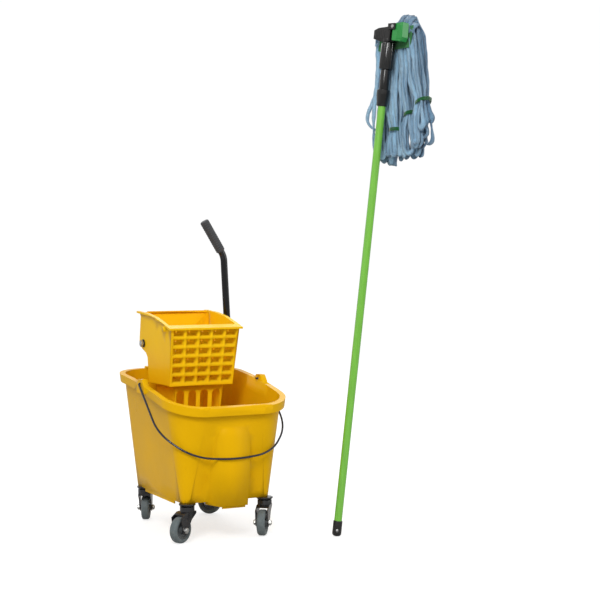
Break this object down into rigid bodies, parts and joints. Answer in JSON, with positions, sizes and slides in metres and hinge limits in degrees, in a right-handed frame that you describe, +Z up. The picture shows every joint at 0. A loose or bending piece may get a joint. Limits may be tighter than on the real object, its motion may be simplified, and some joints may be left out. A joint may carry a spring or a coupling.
{
  "type": "mop and bucket with wringer",
  "caption": "Wheeled cleaning bucket with a bail and a lift-off side-press wringer worked by a hand lever, and a wet mop with a clamped yarn head standing beside it",
  "frame": {"origin": "on the floor, under the middle of the outline that bucket and mop make together", "axes": "+Z up; +X towards the lever side of the bucket, where the mop stands; +Y from the pouring end of the bucket to its wringer"},
  "size_m": [0.7306, 0.7906, 1.5236],
  "materials": {
    "bucket_yellow": "glossy moulded, fine scuffs",
    "wringer_yellow": "satin moulded",
    "press_orange": "satin moulded",
    "bail_black": "gloss",
    "castor_black": "gloss",
    "zinc": "zinc plated",
    "steel": "satin",
    "tyre_grey": "smooth soft tread",
    "hub_grey": "moulded",
    "lever_black": "gloss",
    "grip_grey": "ribbed matt",
    "spring_steel": "oiled",
    "bush_black": "moulded",
    "handle_green": "gloss lacquer",
    "fitting_green": "moulded",
    "clamp_black": "moulded",
    "neck_black": "glossy moulded",
    "band_green": "open mesh",
    "yarn_blue": "looped twisted yarn",
    "tail_green": "stitched tape"
  },
  "bodies": {
    "bucket": {"bucket_shell": "bucket_yellow", "castor_front_left_top_plate": "castor_black", "castor_front_right_top_plate": "castor_black", "castor_rear_left_top_plate": "castor_black", "castor_rear_right_top_plate": "castor_black"},
    "bail": {"bail": "bail_black"},
    "fork_front_left": {"castor_front_left_fork": "castor_black", "castor_front_left_axle": "zinc"},
    "wheel_front_left": {"castor_front_left_hub": "hub_grey", "castor_front_left_tyre": "tyre_grey"},
    "fork_front_right": {"castor_front_right_fork": "castor_black", "castor_front_right_axle": "zinc"},
    "wheel_front_right": {"castor_front_right_hub": "hub_grey", "castor_front_right_tyre": "tyre_grey"},
    "fork_rear_left": {"castor_rear_left_fork": "castor_black", "castor_rear_left_axle": "zinc"},
    "wheel_rear_left": {"castor_rear_left_hub": "hub_grey", "castor_rear_left_tyre": "tyre_grey"},
    "fork_rear_right": {"castor_rear_right_fork": "castor_black", "castor_rear_right_axle": "zinc"},
    "wheel_rear_right": {"castor_rear_right_hub": "hub_grey", "castor_rear_right_tyre": "tyre_grey"},
    "wringer": {"wringer_housing": "wringer_yellow", "shaft_bushes": "bush_black", "return_spring_left": "spring_steel", "return_spring_right": "spring_steel"},
    "lever": {"lever_shaft": "steel", "shaft_nuts": "zinc", "crank_arm_left": "steel", "crank_arm_right": "steel", "drive_pin_left": "steel", "drive_pin_right": "steel", "lever_hub": "lever_black", "lever_tube": "lever_black", "lever_grip": "grip_grey"},
    "press": {"press_plate": "press_orange"},
    "mop": {"mop_handle": "handle_green", "handle_butt_cap": "clamp_black", "handle_collar": "neck_black", "clamp_neck": "neck_black", "clamp_body": "clamp_black", "jaw_pin": "zinc", "headband": "band_green", "mop_yarn": "yarn_blue", "tail_bands": "tail_green"},
    "clamp_nut": {"clamp_nut": "neck_black"},
    "clamp_jaw": {"clamp_jaw": "fitting_green"}
  },
  "joints": [
    {"name": "bail_hinge", "type": "hinge", "parent": "bucket", "child": "bail", "pos_m": [-0.159, 0.108, 0.44], "axis": [1, 0, 0], "range_deg": [-155, 0]},
    {"name": "swivel_front_left", "type": "hinge", "parent": "bucket", "child": "fork_front_left", "pos_m": [-0.282, -0.064, 0.09], "axis": [0, 0, 1], "continuous": true},
    {"name": "roll_front_left", "type": "hinge", "parent": "fork_front_left", "child": "wheel_front_left", "pos_m": [-0.30861, -0.07785, 0.0375], "axis": [-0.4617, 0.887, 0], "continuous": true},
    {"name": "swivel_front_right", "type": "hinge", "parent": "bucket", "child": "fork_front_right", "pos_m": [-0.036, -0.064, 0.09], "axis": [0, 0, 1], "continuous": true},
    {"name": "roll_front_right", "type": "hinge", "parent": "fork_front_right", "child": "wheel_front_right", "pos_m": [-0.05422, -0.08783, 0.0375], "axis": [-0.7944, 0.6074, 0], "continuous": true},
    {"name": "swivel_rear_left", "type": "hinge", "parent": "bucket", "child": "fork_rear_left", "pos_m": [-0.282, 0.273, 0.09], "axis": [0, 0, 1], "continuous": true},
    {"name": "roll_rear_left", "type": "hinge", "parent": "fork_rear_left", "child": "wheel_rear_left", "pos_m": [-0.26819, 0.29963, 0.0375], "axis": [0.8878, -0.4602, 0], "continuous": true},
    {"name": "swivel_rear_right", "type": "hinge", "parent": "bucket", "child": "fork_rear_right", "pos_m": [-0.036, 0.273, 0.09], "axis": [0, 0, 1], "continuous": true},
    {"name": "roll_rear_right", "type": "hinge", "parent": "fork_rear_right", "child": "wheel_rear_right", "pos_m": [-0.05568, 0.29564, 0.0375], "axis": [0.7547, 0.6561, 0], "continuous": true},
    {"name": "wringer_lift", "type": "slide", "parent": "bucket", "child": "wringer", "axis": [0, 0, 1], "range_m": [0, 0.36]},
    {"name": "lever_hinge", "type": "hinge", "parent": "wringer", "child": "lever", "pos_m": [-0.159, 0.32, 0.544], "axis": [1, 0, 0], "range_deg": [0, 90], "stiffness_Nm_per_rad": 3, "springref_deg": -17.19},
    {"name": "press_slide", "type": "slide", "parent": "wringer", "child": "press", "axis": [0, -1, 0], "range_m": [0, 0.087]},
    {"name": "mop_lift", "type": "slide", "parent": "bucket", "child": "mop", "axis": [0.0936, -0.0485, 0.9944], "range_m": [0, 0.5]},
    {"name": "clamp_nut_turn", "type": "hinge", "parent": "mop", "child": "clamp_nut", "pos_m": [0.263, -0.26491, 1.39283], "axis": [0.0936, -0.0485, 0.9944], "continuous": true},
    {"name": "jaw_hinge", "type": "hinge", "parent": "mop", "child": "clamp_jaw", "pos_m": [0.27735, -0.2965, 1.47944], "axis": [-0.9721, -0.2201, 0.0807], "range_deg": [0, 60]}
  ],
  "couplings": [
    {"joint": "press_slide", "follows": "lever_hinge", "m_per_rad": 0.0547}
  ]
}
